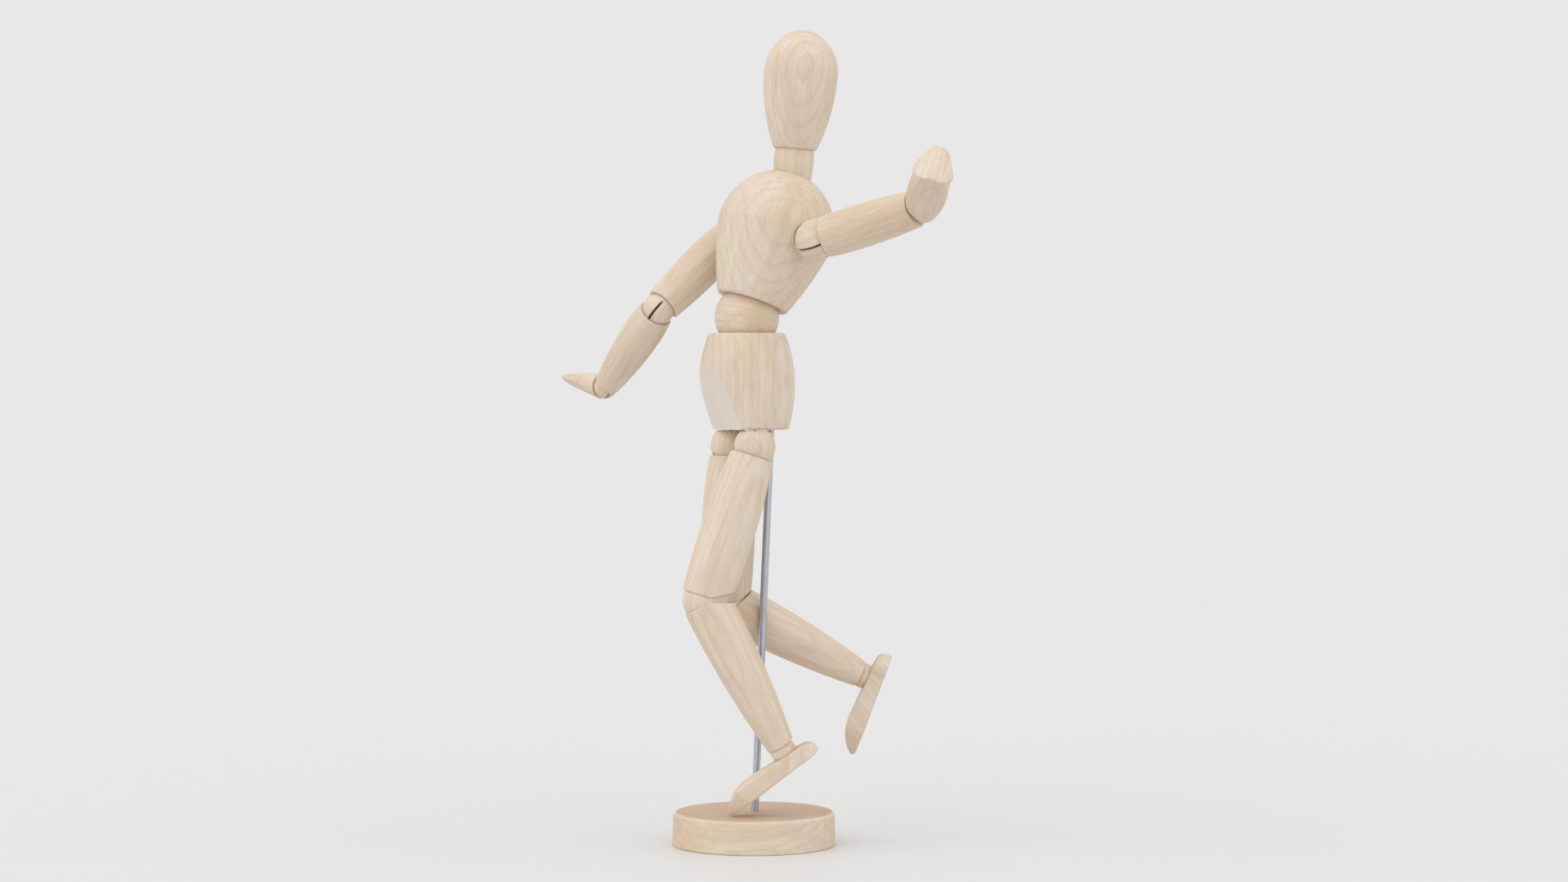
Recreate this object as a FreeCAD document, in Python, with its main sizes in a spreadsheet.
import FreeCAD, Part
import math
import os
import Sketcher
from FreeCAD import Placement, Rotation, Vector

# Artist mannequin, 33 cm, on a round stand. Millimetres, +Z up, origin at the centre of
# the stand's underside. The figure's pelvis faces -Y and its left side is +X.
#
# Every limb piece is drawn in its own frame: the origin is the centre of the ball at its
# near end, +Z runs along the limb and X is the pin that it swings on. A piece is then
# placed by turning (about the parent's Z) and bending (about X) along the chain.

SIZES = {
    # stand
    "base_radius": 33.4, "base_thick": 13.5, "base_top_round": 1.4, "base_foot_round": 0.6,
    "rod_radius": 1.5, "rod_fit": 0.05, "rod_seat": 9.5, "rod_length": 186.0, "rod_lean": 2.6,
    # pelvis, seen from its underside upwards
    "pelvis_z": 169.7, "pelvis_tall": 39.3, "pelvis_bottom": 17.3, "pelvis_max": 19.6,
    "pelvis_top": 15.9, "pelvis_widest": 18.5, "pelvis_edge": 0.9, "pelvis_y": -3.1,
    "pelvis_rod_y": 10.2, "pelvis_rod_bore": 29.0, "facet_apex": 27.5, "facet_depth": 8.7,
    "waist_recess": 12.0, "waist_recess_deep": 1.6,
    # balls: radius, and how far a flat lies from the centre
    "waist_ball": 13.15, "shoulder_ball": 8.5, "elbow_ball": 6.5, "wrist_ball": 4.8,
    "hip_ball": 8.4, "knee_ball": 9.3, "ankle_ball": 5.25,
    "waist_flat": 7.7, "hip_flat": 6.3, "socket_gap": 0.15,
    # where the balls sit
    "waist_above": 45.7, "hip_below": 6.7, "hip_x": 12.2, "hip_y": -1.8, "shoulder_x": 31.3,
    "shoulder_z": 34.8, "neck_z": 59.4,
    # chest, from the centre of the waist ball upwards
    "chest_foot_z": 6.5, "chest_foot": 15.1, "chest_ridge": 24.1, "chest_ridge_z": 37.0,
    "chest_crown": 9.2, "chest_crown_z": 60.8, "chest_dome": 25.5, "chest_flank": 150.0,
    "scoop": 12.2, "scoop_shift": 2.55,
    # neck and head, from the neck nail upwards
    "neck_ball": 7.85, "neck_socket": 8.2, "neck_waist": 8.2, "neck_waist_z": 8.0,
    "neck_top": 7.2, "neck_tall": 15.9, "neck_bore": 2.15, "neck_flare": 3.7,
    "neck_flare_tall": 5.0,
    "head_z": 13.2, "head_rim": 9.1, "head_recess": 7.9, "head_recess_z": 16.2,
    "head_max": 15.1, "head_max_z": 44.2, "head_top_z": 61.7, "head_cheek": 19.0,
    # limbs: length between ball centres, end radii, widest radius and where it is
    "upper_arm_long": 47.0, "upper_arm_near": 8.2, "upper_arm_wide": 8.8, "upper_arm_wide_z": 16.0,
    "upper_arm_far": 7.4,
    "forearm_long": 49.0, "forearm_near": 7.2, "forearm_wide": 8.0, "forearm_wide_z": 14.0,
    "forearm_far": 5.4,
    "thigh_long": 65.0, "thigh_near": 8.7, "thigh_wide": 11.0, "thigh_wide_z": 33.0,
    "thigh_far": 10.1,
    "shin_long": 68.6, "shin_near": 9.9, "shin_wide": 10.0, "shin_wide_z": 8.0, "shin_far": 5.65,
    # rim of each socket: distance from the ball's centre
    "shoulder_rim": 4.0, "elbow_rim": 2.7, "wrist_rim": 1.9, "hip_rim": 4.2, "knee_rim": 1.3,
    "ankle_rim": 1.8, "rim_chamfer": 0.35, "limb_bore": 2.6,
    # relief cut across the inner side of a rim, in degrees
    "elbow_relief": 16.0, "wrist_relief": 14.0, "knee_relief": 29.5, "ankle_relief": 14.0,
    # hand and foot
    "hand_long": 31.0, "hand_wide": 7.9, "sole_z": 8.5, "foot_heel": 12.1, "foot_toe": 32.4,
    "foot_half": 7.6, "foot_instep": 5.4, "toe_half": 3.4, "sole_edge": 0.8,
    # wire parts
    "pin_radius": 0.6, "pin_share": 0.72, "leg_radius": 0.35, "leg_x": 1.05, "leg_long": 2.6,
    "collar_radius": 1.5, "collar_z": 3.2, "collar_thick": 0.8, "stem_radius": 0.5,
    "bead_radius": 1.3, "link_long": 15.0, "link_limb": 12.0, "link_small": 9.5,
    "link_bore": 1.75, "eye_ring": 1.15, "wire_radius": 0.42, "slot_wide": 1.1, "slot_heart": 1.75,
    "coil_radius": 1.85, "coil_wire": 0.35, "end_ring": 1.05, "end_wire": 0.4, "bead_seat": 1.46,
    "nail_radius": 0.4, "nail_long": 19.0, "nail_half_gap": 0.95, "nail_head": 16.0,
    "hip_nail_head": 12.3, "chest_nail_head": 16.5, "tie_ring": 1.6,
    # pose: turn about the parent's axis, then bend, in degrees
    "waist_turn": -1.8, "chest_lean": 19.6, "chest_twist": 12.0, "neck_nod": -16.2,
    "shoulder_left_turn": 139.4, "shoulder_left_bend": 38.9,
    "elbow_left_turn": 140.0, "elbow_left_bend": 60.5,
    "wrist_left_turn": 65.1, "wrist_left_bend": 40.3,
    "shoulder_right_turn": -150.9, "shoulder_right_bend": 91.0,
    "elbow_right_turn": -146.4, "elbow_right_bend": 58.9,
    "wrist_right_turn": -50.0, "wrist_right_bend": 49.0,
    "hip_left_turn": 12.0, "hip_left_bend": -18.2, "knee_left_turn": 6.0, "knee_left_bend": 45.2,
    "ankle_left_turn": 6.0, "ankle_left_bend": 9.6,
    "hip_right_turn": 3.0, "hip_right_bend": -2.0, "knee_right_turn": 0.0, "knee_right_bend": 64.6,
    "ankle_right_turn": 76.0, "ankle_right_bend": 20.2,
    "foot_left_twist": 0.0, "foot_right_twist": -67.0,
}

X, Y, Z = Vector(1, 0, 0), Vector(0, 1, 0), Vector(0, 0, 1)
SIDES = ("left", "right")

doc = FreeCAD.newDocument("artist_mannequin")
sheet = doc.addObject("Spreadsheet::Sheet", "Sheet")
for row, (alias, size) in enumerate(SIZES.items(), 1):
    sheet.set(f"A{row}", alias)
    sheet.set(f"B{row}", str(size))
    sheet.setAlias(f"B{row}", alias)
doc.recompute()


class Dim:
    """A length that keeps its value and the sheet formula that gives it."""

    def __init__(self, value, text):
        self.value = value
        self.text = text

    def __add__(self, other):
        return join(self, other, "+", self.value + number(other))

    def __radd__(self, other):
        return join(other, self, "+", number(other) + self.value)

    def __sub__(self, other):
        return join(self, other, "-", self.value - number(other))

    def __rsub__(self, other):
        return join(other, self, "-", number(other) - self.value)

    def __mul__(self, other):
        return join(self, other, "*", self.value * number(other))

    def __rmul__(self, other):
        return join(other, self, "*", number(other) * self.value)

    def __truediv__(self, other):
        return join(self, other, "/", self.value / number(other))

    def __neg__(self):
        return Dim(-self.value, f"(0 - {self.text})")


def number(item):
    return item.value if isinstance(item, Dim) else item


def formula(item):
    return item.text if isinstance(item, Dim) else repr(item)


def join(first, second, sign, value):
    return Dim(value, f"({formula(first)} {sign} {formula(second)})")


def root(item):
    return Dim(math.sqrt(item.value), f"sqrt({item.text})")


def size(alias):
    return Dim(SIZES[alias], f"Sheet.{alias}")


def fixed(value):
    return Dim(value, f"{value}")


def leg_of(hypotenuse, other):
    """The third side of a right triangle."""
    return root(hypotenuse * hypotenuse - other * other)


nodes = {}


def add_node(obj, name, placement):
    obj.Label = name
    obj.Placement = placement
    nodes[name] = obj


# ---------------------------------------------------------------- solids from primitives

def bind(obj, **dims):
    for prop, dim in dims.items():
        obj.setExpression(prop, formula(dim)) if isinstance(dim, Dim) else setattr(obj, prop, dim)
    return obj


def shift(obj, **dims):
    """Bind the position of a primitive: x, y and z are sheet formulas."""
    for axis, dim in dims.items():
        obj.setExpression(f"Placement.Base.{axis}", formula(dim))
    return obj


def rod_along(axis, radius, length, **start):
    """A cylinder along X, Y or Z, from its start."""
    obj = doc.addObject("Part::Cylinder", "Cylinder")
    obj.Placement = Placement(Vector(), Rotation(Z, axis))
    bind(obj, Radius=radius, Height=length)
    return shift(obj, **start)


def ball_solid(radius, **centre):
    return shift(bind(doc.addObject("Part::Sphere", "Sphere"), Radius=radius), **centre)


def ring_about(axis, ring, wire, **centre):
    obj = doc.addObject("Part::Torus", "Torus")
    obj.Placement = Placement(Vector(), Rotation(Z, axis))
    bind(obj, Radius1=ring, Radius2=wire)
    return shift(obj, **centre)


def sector(radius, width, start, sweep):
    """A slice of a disc about X; start is counted from +Z towards -Y."""
    obj = doc.addObject("Part::Cylinder", "Sector")
    upright = Rotation(Z, -Y, X, "ZXY")
    obj.Placement = Placement(Vector(), Rotation(X, start) * upright)
    bind(obj, Radius=radius, Height=width, Angle=sweep)
    return shift(obj, x=-width / 2)


def fuse(pieces):
    obj = doc.addObject("Part::MultiFuse", "Fusion")
    obj.Shapes = pieces
    return obj


def cut(solid, tools):
    obj = doc.addObject("Part::Cut", "Cut")
    obj.Base = solid
    obj.Tool = tools[0] if len(tools) == 1 else fuse(tools)
    return obj


# ---------------------------------------------------------------- turned solids

def arc_geometry(start, end, radius, side):
    """The shorter arc from start to end; side is +1 or -1 for where its centre lies."""
    chord = end - start
    normal = Vector(-chord.y, chord.x, 0).normalize()
    rise = math.sqrt(max(radius ** 2 - (chord.Length / 2) ** 2, 0))
    centre = (start + end) / 2 + normal * rise * side
    first, last = (start - centre, end - centre) if side > 0 else (end - centre, start - centre)
    from_angle = math.atan2(first.y, first.x)
    to_angle = math.atan2(last.y, last.x)
    if to_angle < from_angle:
        to_angle += 2 * math.pi
    return Part.ArcOfCircle(Part.Circle(centre, Z, radius), from_angle, to_angle)


def draw_outline(body, role, outline):
    """A closed sketch. Each corner is (x, y) or (x, y, radius, side) when an arc follows."""
    sketch = body.newObject("Sketcher::SketchObject", "Outline")
    plane = [item for item in body.Origin.OriginFeatures if item.Role == role][0]
    sketch.AttachmentSupport = [(plane, "")]
    sketch.MapMode = "FlatFace"
    corners = [Vector(number(corner[0]), number(corner[1]), 0) for corner in outline]
    for index, corner in enumerate(outline):
        start, end = corners[index], corners[(index + 1) % len(corners)]
        if len(corner) == 4:
            sketch.addGeometry(arc_geometry(start, end, number(corner[2]), corner[3]))
        else:
            sketch.addGeometry(Part.LineSegment(start, end))
    ends = []
    for index, corner in enumerate(outline):
        geometry = sketch.Geometry[index]
        first_is_start = (geometry.StartPoint - corners[index]).Length < 1e-6
        ends.append((1, 2) if first_is_start else (2, 1))
    for index, corner in enumerate(outline):
        following = (index + 1) % len(outline)
        sketch.addConstraint(Sketcher.Constraint(
            "Coincident", index, ends[index][1], following, ends[following][0]))
        if len(corner) == 4:
            fix(sketch, Sketcher.Constraint("Radius", index, number(corner[2])), corner[2])
        for kind, coordinate, axis in (("DistanceX", corner[0], -2), ("DistanceY", corner[1], -1)):
            if number(coordinate) == 0:
                sketch.addConstraint(Sketcher.Constraint(
                    "PointOnObject", index, ends[index][0], axis))
            else:
                fix(sketch, Sketcher.Constraint(
                    kind, -1, 1, index, ends[index][0], number(coordinate)), coordinate)
    return sketch


def fix(sketch, constraint, dim):
    index = sketch.addConstraint(constraint)
    if isinstance(dim, Dim):
        sketch.setExpression(f"Constraints[{index}]", dim.text)


def turned(name, outline):
    """A body turned about Z from an outline of (radius, height) corners."""
    body = doc.addObject("PartDesign::Body", f"{name}_turned")
    sketch = draw_outline(body, "XZ_Plane", outline)
    turning = body.newObject("PartDesign::Revolution", "Turning")
    turning.Profile = sketch
    turning.ReferenceAxis = (sketch, ["V_Axis"])
    turning.Angle = 360
    doc.recompute()
    return body


def barrel_radius(wide, end, length):
    """Radius of the arc that leaves the widest place along the axis and reaches the end."""
    drop = wide - end
    return (length * length + drop * drop) / (drop * 2)


def notch(body, outline, reach):
    """Cut a prism, symmetric about the YZ plane, out of a body."""
    sketch = draw_outline(body, "YZ_Plane", outline)
    pocket = body.newObject("PartDesign::Pocket", "Notch")
    pocket.Profile = sketch
    pocket.Midplane = True
    pocket.Length = reach
    doc.recompute()


# ---------------------------------------------------------------- repeated pieces

def relief_tool(rim, slope, turn, far_end=None):
    """A wedge that trims the inner side (-Y) of a rim, so that the joint can bend."""
    wedge = doc.addObject("Part::Box", "Relief")
    reach = 40
    bind(wedge, Length=reach, Width=reach, Height=reach)
    lean = Rotation(X, -slope)
    corner = lean.multVec(Vector(-reach / 2, -reach, -reach))
    place = Placement(corner + Vector(0, -0.6, number(rim)), lean)
    if far_end is not None:
        turn_over = Placement(Vector(0, 0, number(far_end)), Rotation(Z, turn))
        mirror = Rotation(X, slope)
        corner = mirror.multVec(Vector(-reach / 2, -reach, 0))
        place = turn_over * Placement(corner + Vector(0, -0.6, -number(rim)), mirror)
    wedge.Placement = place
    return wedge


def limb(name, kind, near, far, far_turn, placement):
    """A turned limb with a ball socket in each end and a bore for its spring."""
    long, bore = size(f"{kind}_long"), size("limb_bore")
    near_socket = size(f"{near}_ball") + size("socket_gap")
    far_socket = size(f"{far}_ball") + size("socket_gap")
    near_rim, far_rim = size(f"{near}_rim"), size(f"{far}_rim")
    near_end, far_end = size(f"{kind}_near"), size(f"{kind}_far")
    wide, wide_z = size(f"{kind}_wide"), size(f"{kind}_wide_z")
    chamfer = size("rim_chamfer")
    near_z, far_z = near_rim + chamfer, long - far_rim - chamfer
    near_arc = barrel_radius(wide, near_end, wide_z - near_z)
    far_arc = barrel_radius(wide, far_end, far_z - wide_z)
    outline = [
        (bore, leg_of(near_socket, bore), near_socket, -1),
        (leg_of(near_socket, near_rim), near_rim),
        (near_end - chamfer, near_rim),
        (near_end, near_z, near_arc, 1),
        (wide, wide_z, far_arc, 1),
        (far_end, far_z),
        (far_end - chamfer, long - far_rim),
        (leg_of(far_socket, far_rim), long - far_rim, far_socket, -1),
        (bore, long - leg_of(far_socket, bore)),
    ]
    body = turned(name, outline)
    tools = []
    if near != "shoulder" and near != "hip":
        tools.append(relief_tool(near_rim, SIZES[f"{near}_relief"], 0))
    tools.append(relief_tool(far_rim, SIZES[f"{far}_relief"], far_turn, long))
    add_node(cut(body, tools), name, placement)


def joint_ball(name, radius, slot_start, slot_sweep, placement, flat=None):
    """A wooden ball, pinned along X, with a slot for the next piece's wire eye."""
    pin = size("pin_radius")
    slot = size("slot_wide")
    half = radius * size("pin_share") + 0.1
    tools = [
        rod_along(X, pin, half * 2, x=-half),
        rod_along(-Z, size("link_bore"), radius + pin + 2, z=pin + 0.05),
        sector(size("slot_heart"), slot, 0, 360),
        sector(radius + 2, slot, slot_start, slot_sweep),
    ]
    if flat is not None:
        slab = bind(doc.addObject("Part::Box", "Flat"), Length=radius * 3, Width=radius * 3,
                    Height=radius)
        tools.append(shift(slab, x=-radius * 1.5, y=-radius * 1.5, z=-(flat + radius)))
    add_node(cut(ball_solid(radius), tools), name, placement)


def link(name, radius, length, placement):
    """The ball's pin with its two legs, collar, stem and end bead, one wire forging."""
    pin, stem = size("pin_radius"), size("stem_radius")
    half = radius * size("pin_share")
    leg, leg_x, collar_z = size("leg_radius"), size("leg_x"), size("collar_z")
    pieces = [
        rod_along(X, pin, half * 2, x=-half),
        rod_along(-Z, leg, size("leg_long"), x=leg_x),
        rod_along(-Z, leg, size("leg_long"), x=-leg_x),
        rod_along(Z, size("collar_radius"), size("collar_thick"), z=-collar_z),
        rod_along(-Z, stem, length - collar_z + 0.2, z=0.2 - collar_z),
        ball_solid(size("bead_radius"), z=-length),
    ]
    add_node(fuse(pieces), name, placement)


def eye(name, length, placement):
    """A wire eye on the ball's pin, with a straight shank set in the next piece."""
    wire = size("wire_radius")
    ring = size("eye_ring")
    pieces = [ring_about(X, ring, wire), rod_along(Z, wire, length - ring, z=ring)]
    add_node(fuse(pieces), name, placement)


def coil(start, end, turns):
    helix = doc.addObject("Part::Helix", "Helix")
    bind(helix, Radius=size("coil_radius"), Height=end - start, Pitch=(end - start) / turns)
    section = bind(doc.addObject("Part::Circle", "Section"), Radius=size("coil_wire"))
    section.Placement = Placement(Vector(SIZES["coil_radius"], 0, 0), Rotation(X, 90))
    sweep = doc.addObject("Part::Sweep", "Coil")
    sweep.Sections = [section]
    sweep.Spine = (helix, ["Edge1"])
    sweep.Solid = True
    sweep.Frenet = True
    return shift(sweep, z=start)


def spring(name, start, end, turns, placement):
    """A limb's spring: an eye on the near ball's pin and a ring behind the far bead."""
    wire, ring, thin = size("wire_radius"), size("eye_ring"), size("coil_wire")
    pieces = [
        ring_about(X, ring, wire),
        rod_along(Z, wire, start - ring, z=ring),
        rod_along(X, thin, size("coil_radius"), z=start),
        coil(start, end, turns),
        rod_along(X, thin, size("coil_radius") - size("end_ring"), x=size("end_ring"), z=end),
        ring_about(Z, size("end_ring"), size("end_wire"), z=end),
    ]
    add_node(fuse(pieces), name, placement)


def nails(name, starts, placement):
    """Identical nails of one body: each start is (direction, x, y, z)."""
    group = doc.addObject("Part::Compound", "Nails")
    group.Links = [nail(*start) for start in starts]
    add_node(group, name, placement)


def nail(direction, x, y, z):
    obj = doc.addObject("Part::Cylinder", "Nail")
    obj.Placement = Placement(Vector(number(x), number(y), number(z)), Rotation(Z, direction))
    return bind(obj, Radius=size("nail_radius"), Height=size("nail_long"))


# ---------------------------------------------------------------- frames of the pose

def posed(parent, offset, joint):
    """Frames of a ball and of the piece beyond it, for a joint's turn and bend."""
    turn, bend = SIZES[f"{joint}_turn"], SIZES[f"{joint}_bend"]
    ball = parent * Placement(offset, Rotation(Z, turn))
    return ball, ball * Placement(Vector(), Rotation(X, bend))


rod_tilt = Rotation(X, -SIZES["rod_lean"])
rod_frame = Placement(Vector(0, 0, SIZES["base_thick"] - SIZES["rod_seat"]), rod_tilt)
pelvis_frame = Placement(Vector(0, SIZES["pelvis_y"], SIZES["pelvis_z"]), Rotation())
waist_frame = pelvis_frame * Placement(
    Vector(0, 0, SIZES["waist_above"]), Rotation(Z, SIZES["waist_turn"]))
chest_pin_frame = waist_frame * Placement(Vector(), Rotation(X, -SIZES["chest_lean"]))
chest_frame = chest_pin_frame * Placement(Vector(), Rotation(Z, SIZES["chest_twist"]))
neck_frame = chest_frame * Placement(
    Vector(0, 0, SIZES["neck_z"]), Rotation(X, -SIZES["neck_nod"]))

frames = {}
for side, sign in (("left", 1), ("right", -1)):
    shoulder_axes = Rotation(Y, Z * sign, X * sign, "ZXY")
    shoulder = chest_frame * Placement(
        Vector(sign * SIZES["shoulder_x"], 0, SIZES["shoulder_z"]), shoulder_axes)
    frames[f"shoulder_{side}"] = posed(shoulder, Vector(), f"shoulder_{side}")
    arm = frames[f"shoulder_{side}"][1]
    frames[f"elbow_{side}"] = posed(arm, Z * SIZES["upper_arm_long"], f"elbow_{side}")
    forearm = frames[f"elbow_{side}"][1]
    frames[f"wrist_{side}"] = posed(forearm, Z * SIZES["forearm_long"], f"wrist_{side}")
    hip_axes = Rotation(X, -Y, -Z, "ZXY")
    hip = pelvis_frame * Placement(
        Vector(sign * SIZES["hip_x"], SIZES["hip_y"], -SIZES["hip_below"]), hip_axes)
    frames[f"hip_{side}"] = posed(hip, Vector(), f"hip_{side}")
    thigh = frames[f"hip_{side}"][1]
    frames[f"knee_{side}"] = posed(thigh, Z * SIZES["thigh_long"], f"knee_{side}")
    shin = frames[f"knee_{side}"][1]
    frames[f"ankle_{side}"] = posed(shin, Z * SIZES["shin_long"], f"ankle_{side}")


# ---------------------------------------------------------------- stand

def tilted_bore(radius, start, length):
    obj = doc.addObject("Part::Cylinder", "Bore")
    obj.Placement = Placement(start, rod_tilt)
    return bind(obj, Radius=radius, Height=length)


def make_stand():
    radius, thick = size("base_radius"), size("base_thick")
    top_round, foot_round = size("base_top_round"), size("base_foot_round")
    body = turned("base", [
        (0, 0), (radius - foot_round, 0, foot_round, 1), (radius, foot_round),
        (radius - 0.4, thick - top_round, top_round, 1), (radius - 0.4 - top_round, thick),
        (0, thick)])
    bore = tilted_bore(size("rod_radius") + size("rod_fit"), rod_frame.Base, size("rod_seat") * 2)
    add_node(cut(body, [bore]), "base", Placement())
    add_node(rod_along(Z, size("rod_radius"), size("rod_length")), "support_rod",
             rod_frame * Placement(Z * 0.3, Rotation()))


# ---------------------------------------------------------------- trunk

def make_pelvis():
    tall, edge = size("pelvis_tall"), size("pelvis_edge")
    bottom, top = size("pelvis_bottom"), size("pelvis_top")
    widest, widest_z = size("pelvis_max"), size("pelvis_widest")
    recess, deep = size("waist_recess"), size("waist_recess_deep")
    body = turned("pelvis", [
        (0, 0), (bottom - edge, 0),
        (bottom, edge, barrel_radius(widest, bottom, widest_z - edge), 1),
        (widest, widest_z, barrel_radius(widest, top, tall - edge - widest_z), 1),
        (top, tall - edge), (top - edge, tall), (recess, tall), (recess, tall - deep),
        (0, tall - deep)])
    apex = size("facet_apex")
    notch(body, [(-size("facet_depth"), -0.001), (-26, -0.001), (-26, apex),
                 (-size("pelvis_max") + 0.9, apex)], 60)
    bore, hip_x = size("link_bore"), size("hip_x")
    link_top = size("link_long") + size("bead_radius") + 0.6
    rod_start = rod_frame.multVec(Z * 140)
    tools = [
        rod_along(Z, bore, link_top - size("hip_below") + 1, x=hip_x, y=size("hip_y"), z=-1),
        rod_along(Z, bore, link_top - size("hip_below") + 1, x=-hip_x, y=size("hip_y"), z=-1),
        rod_along(-Z, bore, link_top - (size("waist_above") - tall) + 1, z=tall + 1),
        rod_bore(),
    ]
    tools += [nail(*start) for start in pelvis_nail_starts()]
    add_node(cut(body, tools), "pelvis", pelvis_frame)
    nails("pelvis_nails", pelvis_nail_starts(), pelvis_frame)


def rod_bore():
    """The bore for the rod: along the rod's lean, open below, in the pelvis's frame."""
    entry = pelvis_frame.inverse() * rod_frame
    obj = doc.addObject("Part::Cylinder", "RodBore")
    along = SIZES["rod_length"] - SIZES["pelvis_rod_bore"] - 1
    obj.Placement = entry * Placement(Z * along, Rotation())
    return bind(obj, Radius=size("rod_radius") + size("rod_fit"),
                Height=size("pelvis_rod_bore") + 2)


def pelvis_nail_starts():
    seat = SIZES["link_long"] - SIZES["bead_seat"]
    hip_z = seat - SIZES["hip_below"]
    waist_z = SIZES["waist_above"] - seat
    starts = []
    hip_x, head_y = SIZES["hip_x"], SIZES["hip_nail_head"]
    beads = ((-hip_x, head_y, hip_z), (hip_x, head_y, hip_z), (0, SIZES["nail_head"], waist_z))
    for centre, start, height in beads:
        for offset in (-SIZES["nail_half_gap"], SIZES["nail_half_gap"]):
            starts.append((-Y, centre + offset, start, height))
    return starts


def make_waist():
    joint_ball("waist_ball", size("waist_ball"), -36, 72, waist_frame, size("waist_flat"))
    link("waist_link", size("waist_ball"), size("link_long"), waist_frame)


def make_chest():
    foot, foot_z = size("chest_foot"), size("chest_foot_z")
    ridge, ridge_z = size("chest_ridge"), size("chest_ridge_z")
    crown, crown_z = size("chest_crown"), size("chest_crown_z")
    round_off = 0.7
    body = turned("chest", [
        (0, foot_z), (foot - round_off, foot_z),
        (foot, foot_z + round_off, size("chest_flank"), 1),
        (ridge, ridge_z, size("chest_dome"), 1), (crown, crown_z), (0, crown_z)])
    link_bore, reach = size("link_bore"), size("link_long") + size("bead_radius") + 0.8
    neck_z, socket = size("neck_z"), size("neck_socket")
    flare = doc.addObject("Part::Cone", "Flare")
    bind(flare, Radius1=socket, Radius2=socket + size("neck_flare"), Height=size("neck_flare_tall"))
    tools = [
        ball_solid(size("waist_ball") + size("socket_gap")),
        rod_along(Z, size("wire_radius"), size("link_long") + 9),
        ball_solid(socket, z=neck_z),
        shift(flare, z=neck_z),
    ]
    for sign in (1, -1):
        shoulder = {"x": sign * (size("shoulder_x") + size("scoop_shift")), "z": size("shoulder_z")}
        tools.append(ball_solid(size("scoop"), **shoulder))
        bore = rod_along(X * -sign, link_bore, reach, x=sign * size("shoulder_x"),
                         z=size("shoulder_z"))
        tools.append(bore)
    tools += [nail(*start) for start in chest_nail_starts()]
    add_node(cut(body, tools), "chest", chest_frame)
    nails("chest_nails", chest_nail_starts(), chest_frame)
    eye("chest_eye", size("link_long") + 9, chest_pin_frame)


def chest_nail_starts():
    centre = SIZES["shoulder_x"] - SIZES["link_long"] + SIZES["bead_seat"]
    starts = []
    for sign in (1, -1):
        for offset in (-SIZES["nail_half_gap"], SIZES["nail_half_gap"]):
            start = (-Y, sign * centre, SIZES["chest_nail_head"], SIZES["shoulder_z"] + offset)
            starts.append(start)
    starts.append((-X, SIZES["nail_long"] / 2, 0, SIZES["neck_z"]))
    return starts


def make_neck_and_head():
    ball, wide, wide_z = size("neck_ball"), size("neck_waist"), size("neck_waist_z")
    top, tall, bore = size("neck_top"), size("neck_tall"), size("neck_bore")
    side = leg_of(ball, fixed(1.0))
    neck = turned("neck", [
        (bore, -leg_of(ball, bore), ball, 1), (side, 1.0),
        (wide, wide_z, barrel_radius(wide, top, tall - wide_z), 1), (top, tall), (bore, tall)])
    pin = rod_along(X, size("nail_radius") + 0.05, ball * 2 + 4, x=-(ball + 2))
    add_node(cut(neck, [pin]), "neck", neck_frame)
    rim, rim_z = size("head_rim"), size("head_z")
    widest, widest_z, head_top = size("head_max"), size("head_max_z"), size("head_top_z")
    recess, recess_z, stem = size("head_recess"), size("head_recess_z"), size("stem_radius")
    tie_top = recess_z + 12
    cheek, crown_tall = size("head_cheek"), head_top - widest_z
    inset = widest - cheek
    crown = (inset * inset + crown_tall * crown_tall - cheek * cheek) / (crown_tall - cheek) / 2
    crown_z = head_top - crown
    share = crown / (cheek - crown)
    head = turned("head", [
        (recess, rim_z), (rim - 0.6, rim_z),
        (rim, rim_z + 0.6, barrel_radius(widest, rim, widest_z - rim_z - 0.6), 1),
        (widest, widest_z, cheek, 1),
        (-inset * share, crown_z + (crown_z - widest_z) * share, crown, 1), (0, head_top),
        (0, tie_top), (stem, tie_top), (stem, recess_z), (recess, recess_z)])
    add_node(head, "head", neck_frame)
    ring = size("tie_ring")
    tie = fuse([ring_about(X, ring, size("wire_radius")),
                rod_along(Z, stem, tie_top - ring, z=ring)])
    add_node(tie, "neck_tie", neck_frame)


# ---------------------------------------------------------------- arms and legs

def make_joint(joint, radius, length, slot_start, slot_sweep, flat=None):
    ball_frame = frames[joint][0]
    joint_ball(f"{joint}_ball", radius, slot_start, slot_sweep, ball_frame, flat)
    link(f"{joint}_link", radius, length, ball_frame)


def limb_spring(name, kind, near, far_link, turns, placement):
    start = size(f"{near}_ball") + 3
    end = size(f"{kind}_long") - far_link + size("bead_seat")
    spring(name, start, end, turns, placement)


# Ovals of the mitten: share of its length, and half width and half thickness as shares of its
# widest half width.
HAND_OVALS = (
    (0.0, 0.68, 0.675), (0.2, 0.76, 0.60), (0.45, 0.95, 0.50), (0.68, 1.0, 0.37),
    (0.86, 0.84, 0.24), (0.96, 0.55, 0.16), (1.0, 0.30, 0.13))


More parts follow.
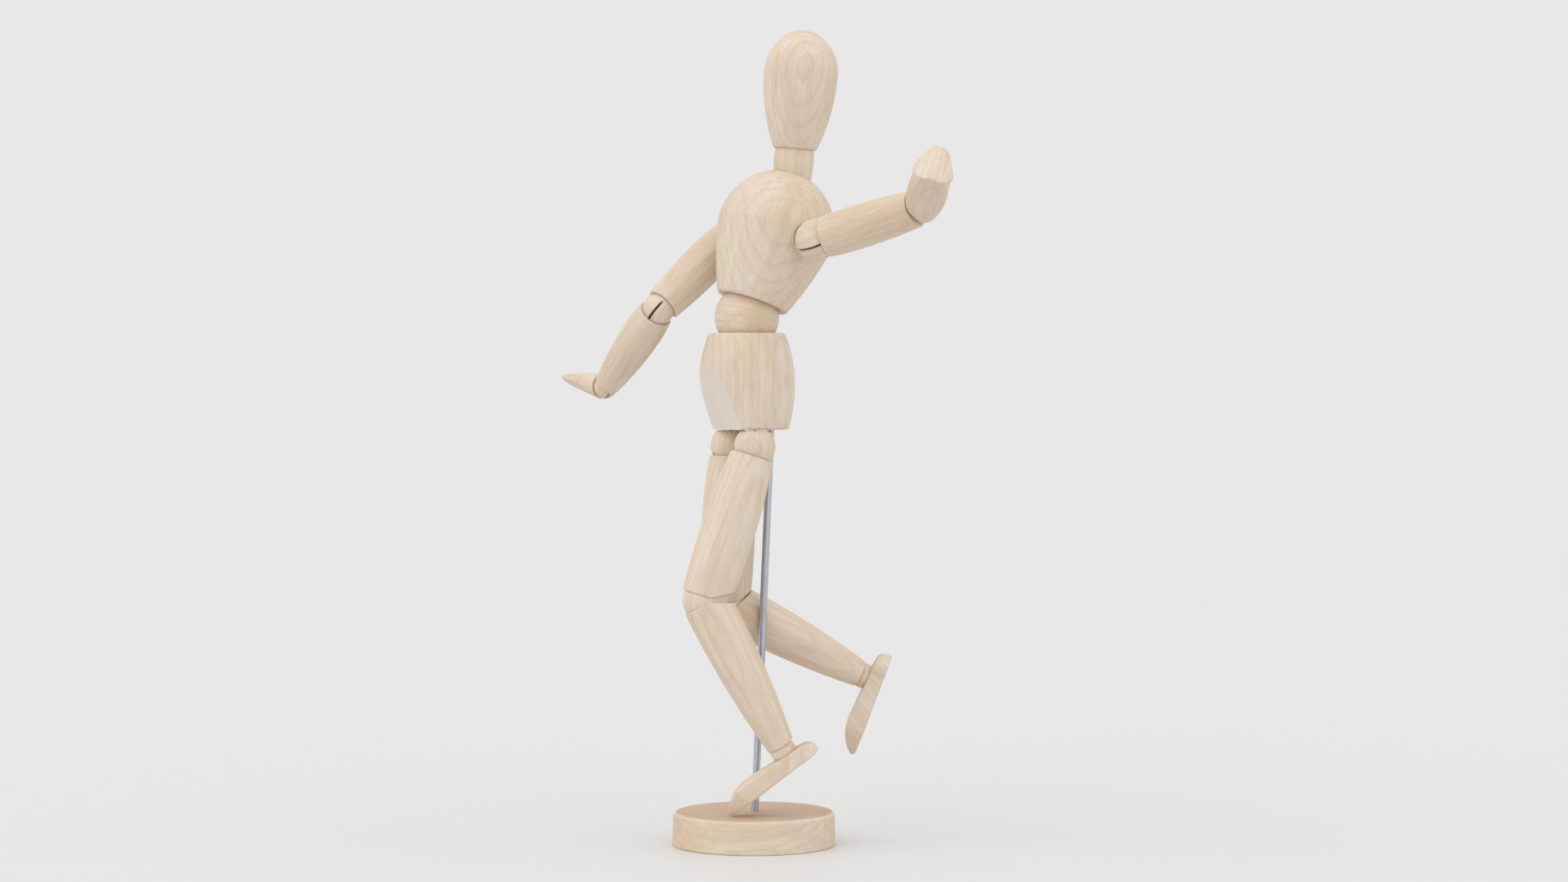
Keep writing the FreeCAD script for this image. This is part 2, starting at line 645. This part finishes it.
def make_hand(side):
    """A mitten: a stack of ovals from the wrist's rim to the finger tips."""
    placement = frames[f"wrist_{side}"][1]
    long, wide, rim = size("hand_long"), size("hand_wide"), size("wrist_rim")
    reach = long - rim
    sections = []
    for share, across, through in HAND_OVALS:
        oval = doc.addObject("Part::Ellipse", "Oval")
        bind(oval, MajorRadius=wide * across, MinorRadius=wide * through)
        sections.append(shift(oval, z=rim + reach * share))
    mitten = doc.addObject("Part::Loft", "Mitten")
    mitten.Sections = sections
    mitten.Solid = True
    tools = [ball_solid(size("wrist_ball") + size("socket_gap")),
             rod_along(Z, size("wire_radius"), size("link_small") + 2),
             relief_tool(rim, SIZES["wrist_relief"], 0)]
    add_node(cut(mitten, tools), f"hand_{side}", placement)
    eye(f"hand_{side}_eye", size("link_small") + 2, placement)


def make_foot(side):
    """A slab foot: the side outline crossed with the outline seen from above."""
    placement = frames[f"ankle_{side}"][1]
    sole, heel, toe, half = size("sole_z"), size("foot_heel"), size("foot_toe"), size("foot_half")
    edge, instep, toe_half = size("sole_edge"), size("foot_instep"), size("toe_half")
    heel_y, ball_y, toe_y = 2.4 - heel, toe - 16.0, toe - 1.2
    foot_thick = 40
    body = doc.addObject("PartDesign::Body", f"foot_{side}_side")
    outline = draw_outline(body, "YZ_Plane", [
        (-heel, sole - edge),
        (-heel, sole - 2.0, fixed(4.1), 1),
        (-heel + 4.5, sole - 5.7),
        (-4.8, sole - 6.3),
        (14.7, sole - 7.3, fixed(30.0), 1),
        (toe - 7.5, sole - 6.9, fixed(14.0), 1),
        (toe - 0.1, sole - 1.8, fixed(1.3), 1),
        (toe - 1.1, sole),
        (-heel + edge, sole, edge, 1)])
    slab = body.newObject("PartDesign::Pad", "Slab")
    slab.Profile = outline
    slab.Midplane = True
    slab.setExpression("Length", (half * 2 + 4).text)
    doc.recompute()
    plan_body = doc.addObject("PartDesign::Body", f"foot_{side}_plan")
    plan = draw_outline(plan_body, "XY_Plane", [
        (4.2, heel_y, fixed(5.6), 1),
        (instep, -2.0),
        (half, ball_y, fixed(20.0), 1),
        (toe_half, toe_y, fixed(4.0), 1),
        (-toe_half, toe_y, fixed(20.0), 1),
        (-half, ball_y),
        (-instep, -2.0, fixed(5.6), 1),
        (-4.2, heel_y, fixed(5.0), 1)])
    block = plan_body.newObject("PartDesign::Pad", "Block")
    block.Profile = plan
    block.Midplane = True
    block.Length = foot_thick
    doc.recompute()
    shared = doc.addObject("Part::Common", "FootShape")
    shared.Base = body
    shared.Tool = plan_body
    tools = [ball_solid(size("ankle_ball") + size("socket_gap")),
             rod_along(Z, size("wire_radius"), sole - 0.6)]
    twist = Placement(Vector(), Rotation(Z, SIZES[f"foot_{side}_twist"]))
    add_node(cut(shared, tools), f"foot_{side}", placement * twist)
    eye(f"foot_{side}_eye", sole - 0.6, placement)


def make_side(side):
    limb_link, small_link = size("link_limb"), size("link_small")
    make_joint(f"shoulder_{side}", size("shoulder_ball"), size("link_long"), -100, 212)
    make_joint(f"elbow_{side}", size("elbow_ball"), limb_link, -100, 192)
    make_joint(f"wrist_{side}", size("wrist_ball"), small_link, -100, 178)
    make_joint(f"hip_{side}", size("hip_ball"), size("link_long"), -70, 140, size("hip_flat"))
    make_joint(f"knee_{side}", size("knee_ball"), limb_link, -30, 122)
    make_joint(f"ankle_{side}", size("ankle_ball"), small_link, -60, 120)
    pieces = [
        ("upper_arm", "shoulder", "elbow", limb_link, 10),
        ("forearm", "elbow", "wrist", small_link, 12),
        ("thigh", "hip", "knee", limb_link, 17),
        ("shin", "knee", "ankle", small_link, 21),
    ]
    for kind, near, far, far_link, turns in pieces:
        placement = frames[f"{near}_{side}"][1]
        far_turn = SIZES[f"{far}_{side}_turn"]
        limb(f"{kind}_{side}", kind, near, far, far_turn, placement)
        limb_spring(f"{kind}_{side}_spring", kind, near, far_link, turns, placement)
    make_hand(side)
    make_foot(side)


def main():
    make_stand()
    make_pelvis()
    make_waist()
    make_chest()
    make_neck_and_head()
    for side in SIDES:
        make_side(side)
    doc.recompute()
    for obj in doc.Objects:
        if "Invalid" in obj.State or "Error" in obj.State:
            raise RuntimeError(f"{obj.Name} ({obj.Label}) failed")
    for name, obj in nodes.items():
        if obj.Shape.isNull() or not obj.Shape.isValid():
            raise RuntimeError(f"{name} has no valid shape")
    os.makedirs("parts", exist_ok=True)
    for name, obj in nodes.items():
        obj.Shape.exportStep(f"parts/{name}.step")
    print(len(nodes), "nodes")


main()
